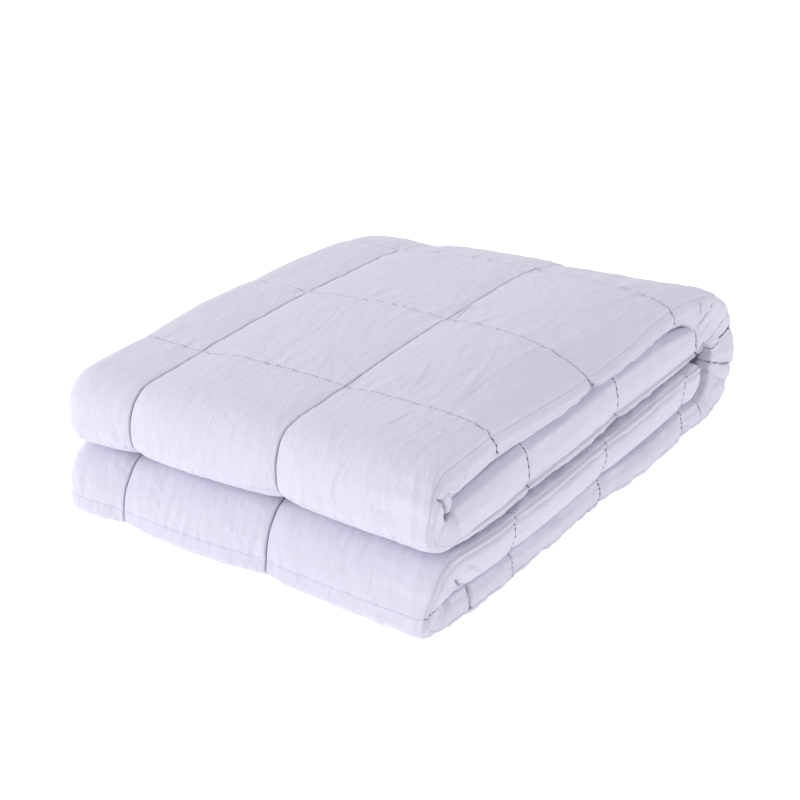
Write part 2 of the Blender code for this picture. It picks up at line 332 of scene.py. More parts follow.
def small_fold(before, after):
    """Two quarter ellipses at the front: y = reach (1 - cos t), z = widest + half height sin t."""
    turn = np.linspace(-np.pi / 2, np.pi / 2, PATH_SAMPLES)
    low, high = sorted((LAYERS[before], LAYERS[after]), key=lambda one: one["face_z"])
    rise = np.sign(turn) * np.abs(np.sin(turn)) ** FOLD_POWER[after]
    bulge = np.cos(turn).clip(0) ** FOLD_POWER[after]
    widest = low["face_z"] + (high["face_z"] - low["face_z"]) * FOLD_WIDEST[after]
    face_z = widest + np.where(rise > 0, high["face_z"] - widest, widest - low["face_z"]) * rise
    back_z = (high["back_z"] + low["back_z"] + (high["back_z"] - low["back_z"]) * np.sin(turn)) / 2
    fold = stretch(before, after, FOLD_REACH * (1 - bulge), face_z,
                   FOLD_REACH - FOLD_SLACK * np.cos(turn), back_z)
    fold["free"] = np.maximum(fold["free"], between(np.cos(turn), *FOLD_FREE))
    if after == "top":
        fold["hanging"] = between(np.linspace(0, 1, PATH_SAMPLES), HANGING_FROM, 1)
    return fold


def turn_side(side):
    """One side of the big turn: two quarter ellipses that meet where it is widest."""
    place = TURN[side]
    widest_y, widest_z = place["widest"]
    top_z, foot_z = (LAYERS[name][side + "_z"] for name in ("top", "bottom"))
    turn = np.linspace(0, np.pi / 2, PATH_SAMPLES)
    rise, fall = np.sin(turn), np.cos(turn).clip(0)
    upper_y = place["start"] + (widest_y - place["start"]) * rise ** TURN_POWER
    upper_z = widest_z + (top_z - widest_z) * fall ** TURN_POWER
    lower_y = place["foot"] + (widest_y - place["foot"]) * fall
    lower_z = widest_z + (foot_z - widest_z) * rise
    return np.append(upper_y, lower_y[1:]), np.append(upper_z, lower_z[1:])


def upper_flap():
    """The upper flap: its end is squeezed thin under the slope of the big turn."""
    flap = run("upper flap", UPPER_FLAP, FOLD_REACH)
    turn_y, turn_z = (side[:PATH_SAMPLES] for side in turn_side("back"))
    flap["back_z"] = np.minimum(flap["back_z"], np.interp(flap["back_y"], turn_y, turn_z) - GAP)
    return flap


print("the big turn stands out to", TURN["face"]["widest"][0], "m from the front")

# %% The whole path
SEAMS_SHOWN = {
    # cross seams counted along the path: number, and place from the front, or height on the fold
    "first on top":         (4, 0.0860),
    "third on top":         (6, 0.3460),
    "on the lower fold":    (11, 0.0240),
}
SEAMS_BEYOND = 9            # squares on either side of those, enough to reach the strip's ends
LAST_SEAM = 14


def seam_count(path):
    """Seam numbers along the path: drawn through three seams that show, a plain pitch beyond them."""
    (first, first_y), (third, third_y), (lower, lower_z) = SEAMS_SHOWN.values()
    above = path["hanging"] == 1.0
    low = (path["lower"] > 0.5) & (path["face_y"] < FOLD_REACH)
    on_top = np.interp([first_y, third_y], path["face_y"][above], path["length"][above])
    on_fold = np.interp(lower_z, path["face_z"][low], path["length"][low])
    beyond = SEAMS_BEYOND * SQUARE
    return np.interp(path["length"], [on_top[0] - beyond, *on_top, on_fold, on_fold + beyond],
                     [first - SEAMS_BEYOND, first, third, lower, lower + SEAMS_BEYOND])


def fold_path():
    """All stretches joined; length is measured along the face, and seam counts the cross seams."""
    stretches = [upper_flap(), small_fold("upper flap", "top"),
                 run("top", FOLD_REACH, TURN["face"]["start"]),
                 stretch("top", "bottom", *turn_side("face"), *turn_side("back")),
                 run("bottom", TURN["face"]["foot"], FOLD_REACH), small_fold("bottom", "lower flap"),
                 run("lower flap", FOLD_REACH, LOWER_FLAP)]
    joined = {name: np.concatenate([part[name][1:] for part in stretches]) for name in stretches[0]}
    steps = np.hypot(np.diff(joined["face_y"]), np.diff(joined["face_z"]))
    joined["length"] = np.append(0.0, np.cumsum(steps))
    joined["seam"] = seam_count(joined)
    return joined


PATH = fold_path()


def length_of(seam):
    """Length along the path of a cross seam."""
    return np.interp(seam, PATH["seam"], PATH["length"])


print("the strip is", round(PATH["length"][-1], 3), "m long, cross seams from",
      round(PATH["seam"][0], 2), "to", round(PATH["seam"][-1], 2))

# %% [markdown]
# ## Around the cloth
#
# A cut across the strip is a flat loop: over the face from the fold side to the hems, down the
# hem side, along the back, and round the fold side. The hem side has four shapes. Where the hem
# hangs, as on the top layer, its lip covers what is below. Where it is tucked, it lies along the
# face and the plies bulge behind it. Low on the upper small fold it is turned in and out of
# sight. In the big turn the plies are pushed together and gather, until they touch the ends of
# the flaps. A polygon through those places would look faceted, so a smoothed line joins them.

# %% Places around the hem side
HEM_SIDE = (
    # each place: metres in from the hem's edge, and its height, 0 on the back and 1 on the face
    # place,                 hanging,         tucked,          turned in,       gathered
    ("on the face",          (.0450, 1.00),   (.0450, 1.00),   (.0450, 1.00),   (.0450, 1.00)),
    ("edge of the face",     (.0225, .975),   (.0150, 1.00),   (.0150, 1.00),   (.0190, .985)),
    ("turned over",          (.0095, .930),   (.0036, .970),   (.0052, .965),   (.0075, .945)),
    ("hem",                  (.0026, .610),   (.0006, .880),   (.0020, .890),   (.0026, .860)),
    ("hem edge",             (.0008, .330),   (.0003, .815),   (.0010, .815),   (.0012, .770)),
    ("behind the hem",       (.0050, .270),   (.0030, .785),   (.0008, .780),   (.0012, .690)),
    ("top of the bulge",     (.0062, .200),   (-.0002, .720),  (.0004, .720),   (.0008, .560)),
    ("bulge",                (.0065, .140),   (-.0004, .420),  (.0005, .420),   (.0016, .120)),
    ("back of the bulge",    (.0090, .050),   (.0034, .110),   (.0040, .110),   (.0040, -.420)),
    ("edge of the back",     (.0160, .000),   (.0110, .000),   (.0110, .000),   (.0150, -.480)),
    ("on the back",          (.0300, .000),   (.0300, .000),   (.0300, .000),   (.0300, .000)),
)
FACE_FROM, FACE_EDGE, BACK_FROM = (HEM_SIDE[place][1][0] for place in (0, 1, -1))
HEM_LINE = (2, 0.4)         # its stitches: after this place, at this share of the way to the next
TYPICAL_THICKNESS = 0.031
SIDE_ROUNDING = 0.0009      # how far the corners between the places are smoothed
SMOOTHING_SAMPLES = 1600
SEAM_STEPS = np.array((0, .12, .3, .55, .85, 1.2, 1.6, 2.2, 3.2)) / 1000    # from a seam outwards


def near_seams(start, end, step, seams):
    """Places from start to end, a step apart, with finer ones on both sides of each seam."""
    places = np.linspace(start, end, int(round(abs(end - start) / step)) + 1)
    for seam in seams:
        places = places[np.abs(places - seam) > SEAM_STEPS[-1] + step / 3]
        places = np.concatenate([places, seam + SEAM_STEPS, seam - SEAM_STEPS[1:]])
    return np.unique(places[(places >= start) & (places <= end)])


def side_blend(step):
    """Weights of the places at each column: a straight blend, smoothed by a bell curve."""
    shape = np.array([row[1:3] for row in HEM_SIDE]).mean(axis=1) * (1, TYPICAL_THICKNESS)
    knots = np.append(0, np.cumsum(np.hypot(*np.diff(shape, axis=0).T)))
    hem_line = knots[HEM_LINE[0]] + HEM_LINE[1] * (knots[HEM_LINE[0] + 1] - knots[HEM_LINE[0]])
    at = near_seams(0, knots[-1], step, (hem_line,))
    tail = 4 * SIDE_ROUNDING    # the bell curve is practically 0 beyond it
    fine = np.linspace(-tail, knots[-1] + tail, SMOOTHING_SAMPLES)
    hats = np.array([np.interp(fine, knots, unit) for unit in np.eye(len(knots))]).T
    window = np.exp(-0.5 * ((at[:, None] - fine) / SIDE_ROUNDING) ** 2)
    return window @ hats / window.sum(axis=1, keepdims=True), at - knots[1], knots[1] - hem_line

# %% Columns around the strip
FOLD_SIDE_ROUND = 0.019
FOLD_EDGE = WIDTH - FOLD_SIDE_ROUND
FAR = 9.0                   # metres, further than anything here


def loop(face_step, side_step, back_points, fold_points):
    """Columns around the strip. Girth is 0 at the edge of the face and grows towards the fold."""
    weights, side_at, hem_line = side_blend(side_step)
    face = near_seams(FACE_FROM, FOLD_EDGE, face_step, (SQUARE, 2 * SQUARE))[1:-1][::-1]
    back = np.linspace(BACK_FROM, FOLD_EDGE, back_points + 2)[1:-1]
    turn = np.linspace(0, np.pi, fold_points)
    turned = FOLD_EDGE + FOLD_SIDE_ROUND * (np.pi - turn)
    parts = {
        "across": (face, 0 * side_at, back, FOLD_EDGE + FOLD_SIDE_ROUND * np.sin(turn)),
        "through": (1 + 0 * face, 0 * side_at, 0 * back, 0.5 - 0.5 * np.cos(turn)),
        "girth": (face - FACE_EDGE, -side_at, -side_at[-1] - back, turned - FACE_EDGE),
        "on the side": (0 * face, 1 + 0 * side_at, 0 * back, 0 * turn),
    }
    columns = {name: np.concatenate(arrays) for name, arrays in parts.items()}
    columns["weights"] = np.zeros((len(columns["across"]), len(HEM_SIDE)))
    columns["weights"][columns["on the side"] == 1] = weights
    columns["from hem line"] = columns["girth"] - hem_line
    on_face = np.where(columns["through"] < 1, FAR, columns["across"])
    columns["long seams"] = [int(np.abs(on_face - seam).argmin()) for seam in (SQUARE, 2 * SQUARE)]
    return columns


FINE = loop(face_step=0.0014, side_step=0.0008, back_points=10, fold_points=44)
COARSE = loop(face_step=0.0080, side_step=0.0009, back_points=10, fold_points=30)
print("columns around the strip:", len(FINE["across"]), "fine,", len(COARSE["across"]), "coarse")

# %% [markdown]
# ## From the flat strip to the folded stack
#
# One function takes a row of the path and a column of the loop to a point in space. A Curve
# modifier could bend a flat sleeve along a path too, but it would stretch the face of every fold
# and know nothing of the layer below. Here everything that is sewn, such as seams and creases, is
# worked out on the flat strip and carried along.

# %% Rows of the path
HEM_SPANS = {
    # cross seam numbers where the hem side's shape starts, is fully so, starts to end, and is over
    "turned in": (2.45, 2.75, 3.08, 3.20),
    "gathered": (6.25, 6.75, 7.25, 7.75),
}
TURNED_AT_FLOOR = 0.8       # share of the turned in shape on the bottom layer
END_ROUND = 0.015           # length over which either end of the strip is rounded


def rows_at(lengths):
    """The path at these lengths, each value as a column, ready to be combined with the loop."""
    rows = {name: np.interp(lengths, PATH["length"], PATH[name])[:, None] for name in PATH}
    to_end = np.minimum(rows["length"], PATH["length"][-1] - rows["length"])
    rows["near end"] = np.clip(1 - to_end / END_ROUND, 0, 1)
    rows["thickness"] = np.sqrt(1 - rows["near end"] ** 2)
    for name, (start, full, ends, over) in HEM_SPANS.items():
        rows[name] = between(rows["seam"], start, full) * between(rows["seam"], over, ends)
    return rows


def places(rows, columns):
    """Across and through for every row and column. The hem side blends its four shapes."""
    gathered = rows["gathered"]
    turned = np.maximum(rows["turned in"], TURNED_AT_FLOOR * rows["floor"]) * (1 - gathered)
    others = (1 - turned) * (1 - gathered)
    shares = [rows["hanging"] * others, (1 - rows["hanging"]) * others, turned, gathered]
    shares = np.stack(shares, axis=-1)
    shares = shares / shares.sum(axis=-1, keepdims=True)
    shapes = np.array([row[1:] for row in HEM_SIDE])
    side = np.einsum("rcs,ksp,nk->rnp", shares, shapes, columns["weights"])
    on_side = columns["on the side"]
    across = columns["across"] * (1 - on_side) + side[..., 0] * on_side
    through = columns["through"] * (1 - on_side) + side[..., 1] * on_side
    return across, through


for name, (start, *_, over) in HEM_SPANS.items():
    print("the hem side is", name, "between cross seams", start, "and", over)

# %% Points of the stack
END_NARROWING = 0.03        # share of its width that the strip loses at either end
HEM_RAMP = FRONT_RAMP = 0.100       # towards the hems, and behind the front, a drop grows over this
SHOULDER = {"drop": 0.0280, "width": 0.096, "middle": 0.224, "reach": 0.230}    # top layer, at its hems
TOP_CROWN = {"height": 0.0029, "middle": 0.168, "reach": 0.130}     # the top layer's, along the stack
LOWER_SHIFT = (0, 0.012, 0.012, 0.0063)     # to the left: at the hems, long seams, and fold side
LOWER_SPREAD = 0.0047       # but its hems less so, behind the front
BOTTOM_INSET = 0.0058       # the bottom layer's hems lie this far in under the others
INSET_SPAN = (0.33, 0.18)   # from the front: where that starts, and where it is full
BACK_SPREAD = 0.0061        # the big turn stands out this much further back at its hems
SPREAD_SPAN = (0.30, 0.42)  # from the front, again
FOLD_SIDE_SINK, BACK_SINK = 0.0925, 0.0840      # shares of the height
SINK_FROM, SINK_OVER, SINK_MOST = 0.100, 0.285, 1.3     # the back sinks from here, over this length


def stack_points(rows, across, through):
    """Back plus a share of the way to the face, in the part's frame, before any seam is drawn in."""
    through = 0.5 + (through - 0.5) * rows["thickness"]
    across = WIDTH / 2 + (across - WIDTH / 2) * (1 - END_NARROWING * rows["near end"] ** 2)
    face_y, back_y = rows["face_y"], rows["back_y"]
    hems = ease(1 - across / HEM_RAMP)
    hems_behind = hems * ease(face_y / FRONT_RAMP)
    shoulder = rows["hanging"] * near(face_y - SHOULDER["middle"], SHOULDER["reach"])
    face_z = (rows["face_z"] - rows["face_drop"] * hems_behind
              - SHOULDER["drop"] * shoulder * np.clip(1 - across / SHOULDER["width"], 0, 1) ** 2)
    back_z = rows["back_z"] - rows["back_drop"] * hems * ease(back_y / FRONT_RAMP)
    shift = (np.interp(across, (0, SQUARE, 2 * SQUARE, WIDTH), LOWER_SHIFT) - LOWER_SPREAD * hems_behind
             + BOTTOM_INSET * hems * rows["floor"] * between(face_y, *INSET_SPAN))
    y = back_y + (face_y - back_y) * through
    y = y + BACK_SPREAD * hems * between(y, *SPREAD_SPAN)
    z = back_z + (face_z - back_z) * through
    to_left = np.clip((across - SQUARE) / (WIDTH - SQUARE), 0, None)
    to_back = np.clip((y - SINK_FROM) / SINK_OVER, 0, SINK_MOST)
    upper_pair, top = LEVELS["upper pair"][0], LEVELS["top"][0]
    crown = TOP_CROWN["height"] * near(y - TOP_CROWN["middle"], TOP_CROWN["reach"])
    z = z + crown * between(z, upper_pair, (upper_pair + top) / 2)
    z = z * (1 - (FOLD_SIDE_SINK + BACK_SINK * to_back) * to_left)
    return np.stack([MIDDLE[0] - across - shift * rows["lower"], y - MIDDLE[1], z], axis=-1)


def outward(points):
    """Unit normals of a grid whose columns close: the cross product of its two directions."""
    along = np.gradient(points, axis=0)
    around = np.roll(points, -1, axis=1) - np.roll(points, 1, axis=1)
    normal = np.cross(around, along)
    return normal / np.maximum(np.linalg.norm(normal, axis=-1, keepdims=True), TINY)

# %% [markdown]
# ## Quilting
#
# The squares are sewn through, so the filling pushes each one up between its seams, and each
# seam lies at the bottom of a narrow valley with rounded shoulders. The long seams are deep. The
# cross seams are shallow, and the cloth gathers a little on both sides of them. Pressure in a
# simulation would swell the squares as well. The distance to the nearest seam is enough to give
# them all their swell at once, and it leaves each seam exactly where it is sewn.

# %% Seams and swell
LONG_DOME, CROSS_DOME = 0.0026, 0.0012
LONG_BOWL, CROSS_BOWL = 0.0019, 0.0007                  # a soft dip along each seam
BOWL_REACH = {"long": 0.010, "cross": 0.006}
LONG_VALLEY = {"depth": 0.0046, "shoulder": 0.0014}
CROSS_VALLEY = {"depth": 0.0014, "shoulder": 0.0012}
HEM_VALLEY = {"depth": 0.0005, "shoulder": 0.0012}
HEM_PUFF = {"height": 0.0006, "middle": -0.0040, "reach": 0.0036}
PRESSED_DOME = 0.45         # share of the dome that is left where layers press
DOMES = {"pressed": (0.80, 1.4), "free": (0.0, 2.4)}    # flat share, power down to the seams
BACK_FADE = 0.12            # share of the thickness over which the cross seams fade at the back
SHALLOWER = {"lower": 0.70, "turned in": 0.85, "crossing": 0.8}     # less by these shares
DEEPER = {"on the side": 0.9, "gathered": 0.9}                      # and more by these
CROSSING_REACH = 0.004      # from a long seam, where a cross seam is shallower
GATHER_REACH = 0.03         # from the hem line, where a cross seam is deeper in the big turn


def to_seam(count):
    """Distance to the nearest seam, for a place counted in squares."""
    return SQUARE * np.abs(count - np.round(count))


def square_column(across):
    """Places across, counted in squares. Nearer the hems than half a square there is no seam."""
    return np.where(across > SQUARE / 2, across / SQUARE, 0.5)


def valley(distance, depth, shoulder):
    """Two quarter ellipses that meet at the seam: depth (1 - sqrt(1 - (1 - d/shoulder)^2))."""
    closeness = np.clip(1 - distance / shoulder, 0, 1)
    return depth * (1 - np.sqrt(1 - closeness ** 2))


def dome_dip(count, free):
    """How far a square's surface has come down, 0 on its crest and 1 at its seams."""
    from_crest = 1 - 2 * np.abs(count - np.round(count))
    dips = [np.clip((from_crest - flat) / (1 - flat), 0, 1) ** power for flat, power in DOMES.values()]
    return dips[0] + (dips[1] - dips[0]) * free


def sewn_dip(rows, columns, across, through):
    """How far the seams draw the surface in. The long seams are on the face alone."""
    facing = np.clip(2 * through - 1, 0, 1)
    column = square_column(across)
    lift = PRESSED_DOME + (1 - PRESSED_DOME) * rows["free"]
    long_dip = (LONG_DOME * dome_dip(column, rows["free"]) * lift
                + LONG_BOWL * np.exp(-to_seam(column) / BOWL_REACH["long"])
                + valley(to_seam(column), **LONG_VALLEY))
    seam = np.broadcast_to(rows["seam"], across.shape)
    cross_dip = (CROSS_DOME * dome_dip(seam, rows["free"]) * lift
                 + CROSS_BOWL * np.exp(-to_seam(seam) / BOWL_REACH["cross"])
                 + valley(to_seam(seam), **CROSS_VALLEY) * (1 - SHALLOWER["lower"] * rows["lower"])
                 * (1 + DEEPER["on the side"] * columns["on the side"]))
    crossing = facing * np.exp(-(to_seam(column) / CROSSING_REACH) ** 2)
    cross_dip = (cross_dip * ease(through / BACK_FADE)
                 * (1 - SHALLOWER["crossing"] * crossing) * (1 - SHALLOWER["turned in"] * rows["turned in"])
                 * (1 + DEEPER["gathered"] * rows["gathered"] * ease(1 - across / GATHER_REACH)))
    from_line = columns["from hem line"]
    puff = HEM_PUFF["height"] * near(from_line - HEM_PUFF["middle"], HEM_PUFF["reach"])
    hem_dip = valley(np.abs(from_line), **HEM_VALLEY) - puff
    return long_dip * facing + cross_dip + hem_dip * (1 - rows["turned in"]) * (1 - rows["gathered"])


print("a square swells by up to", round(1000 * (LONG_DOME + LONG_BOWL + CROSS_DOME + CROSS_BOWL), 1), "mm")

# %% [markdown]
# ## Puckers and creases
#
# Thread draws the cloth together at every seam, so short ripples run away from it at a right
# angle and fade out. Between the seams the washed cotton has long faint wrinkles, and the filling
# makes it slightly lumpy. A Displace modifier with a cloud texture looks the same in every
# direction. Noise on a lattice of our own gives each kind its grain: its cells are narrow across
# the ripples and long along them.

# %% Noise on a lattice
LATTICE = 256               # cells each way, after which the noise repeats
RIPPLES = {
    # Heights are metres out of the cloth. The pucker length and the bend are metres along it, and
    # the patches a share.
    # ripples:            height,  cell across, cell along, seed
    "pucker length":      (0.00800, 0.0200, 0.300, 11),
    "pucker":             (0.00075, 0.0050, 0.060, 12),
    "fine pucker":        (0.00045, 0.0026, 0.040, 13),
    "gather":             (0.00045, 0.0060, 0.030, 14),
    "patches":            (0.90000, 0.0500, 0.075, 15),
    "wrinkle":            (0.00042, 0.0085, 0.070, 16),
    "fine wrinkle":       (0.00024, 0.0048, 0.045, 17),
    "lump":               (0.00070, 0.0400, 0.050, 18),
    "fine lump":          (0.00028, 0.0130, 0.016, 19),
    "hem side":           (0.00070, 0.0110, 0.060, 20),
    "bend":               (0.01000, 0.0500, 0.050, 21),
    "crease":             (0.00042, 0.0150, 0.055, 22),
    "fine crease":        (0.00034, 0.0110, 0.040, 23),
    "fine hem side":      (0.00035, 0.0045, 0.030, 24),
}


def ripple(kind, first, second, power=None):
    """Random heights on a lattice, joined by smooth steps. A power makes thin creases of them.

    The noise runs from -1 to 1. A crease is (1 - |noise|) raised to the power, so only the places
    where the noise changes its sign stay.
    """
    height, first_cell, second_cell, seed = RIPPLES[kind]
    heights = np.random.default_rng(seed).uniform(-1, 1, (LATTICE, LATTICE))
    first, second = np.broadcast_arrays(first / first_cell, second / second_cell)
    low_first, low_second = np.floor(first).astype(int), np.floor(second).astype(int)
    to_first, to_second = ease(first - low_first), ease(second - low_second)

    def line(row):
        start, end = (heights[row % LATTICE, column % LATTICE] for column in (low_second, low_second + 1))
        return start + (end - start) * to_second

    noise = line(low_first) + (line(low_first + 1) - line(low_first)) * to_first
    return height * (noise if power is None else (1 - np.abs(noise)) ** power)

# %% Puckers, wrinkles and lumps
PUCKER_LEAN, PUCKER_REACH, FINE_PUCKER_REACH = 0.25, 0.013, 0.006   # beside the cross seams
GATHER_LEAN, LONG_GATHER_REACH = 0.3, 0.008         # the gathers beside the long seams
PATCHES_COVER = 0.45        # share of the cloth that the faint wrinkles cover
REST_COVER = 1.1            # the fine creases lie where the others don't: this less the patches
FAINT = {
    # faint wrinkles: lean, direction in which they follow the bend, power where they are creases
    "wrinkle": (0.16, 1, None),
    "fine wrinkle": (-0.25, 1, None),
    "crease": (0.10, 1, 5),
    "fine crease": (-0.20, -1, 6),
}
FLOOR_ROUGHER = 1.2         # the bottom layer's hem side is this much rougher
WRINKLES_FROM = (0.1, 0.3)  # shares of the way from the back where they start, and are at full height
PRESSED_FLATTER = 0.75      # they lose this share where layers press


def wrinkles(rows, columns, across, through):
    """Outward heights of puckers, faint wrinkles and lumps. They fade where layers press."""
    length, girth = rows["length"], columns["girth"]
    to_cross, to_long = to_seam(rows["seam"]), to_seam(square_column(across))
    beyond = np.where(rows["seam"] > np.round(rows["seam"]), 1, 0)
    leaning = girth + PUCKER_LEAN * to_cross * (2 * beyond - 1)
    reach = PUCKER_REACH + ripple("pucker length", girth, np.round(rows["seam"]) + 0.5 * beyond)
    gathers = ripple("gather", length + GATHER_LEAN * girth, girth)
    heights = (ripple("pucker", leaning, length) * np.exp(-to_cross / reach)
               + ripple("fine pucker", leaning, length) * np.exp(-to_cross / FINE_PUCKER_REACH)
               + gathers * np.exp(-to_long / LONG_GATHER_REACH)
               + ripple("lump", girth, length) + ripple("fine lump", girth, length))
    bend = ripple("bend", girth, length)
    patches = ease(PATCHES_COVER + ripple("patches", girth, length))
    for kind, (lean, follow, power) in FAINT.items():
        cover = REST_COVER - patches if kind == "fine crease" else patches
        heights = heights + ripple(kind, girth + lean * length + follow * bend, length, power) * cover
    hem_side = ripple("hem side", length, girth) + ripple("fine hem side", length, girth)
    heights = heights + hem_side * columns["on the side"] * (1 + FLOOR_ROUGHER * rows["floor"])
    inside = (columns["on the side"] == 0) & (girth < FOLD_EDGE)
    quiet = 1 - PRESSED_FLATTER * (1 - rows["free"]) * inside
    return heights * between(through, *WRINKLES_FROM) * quiet
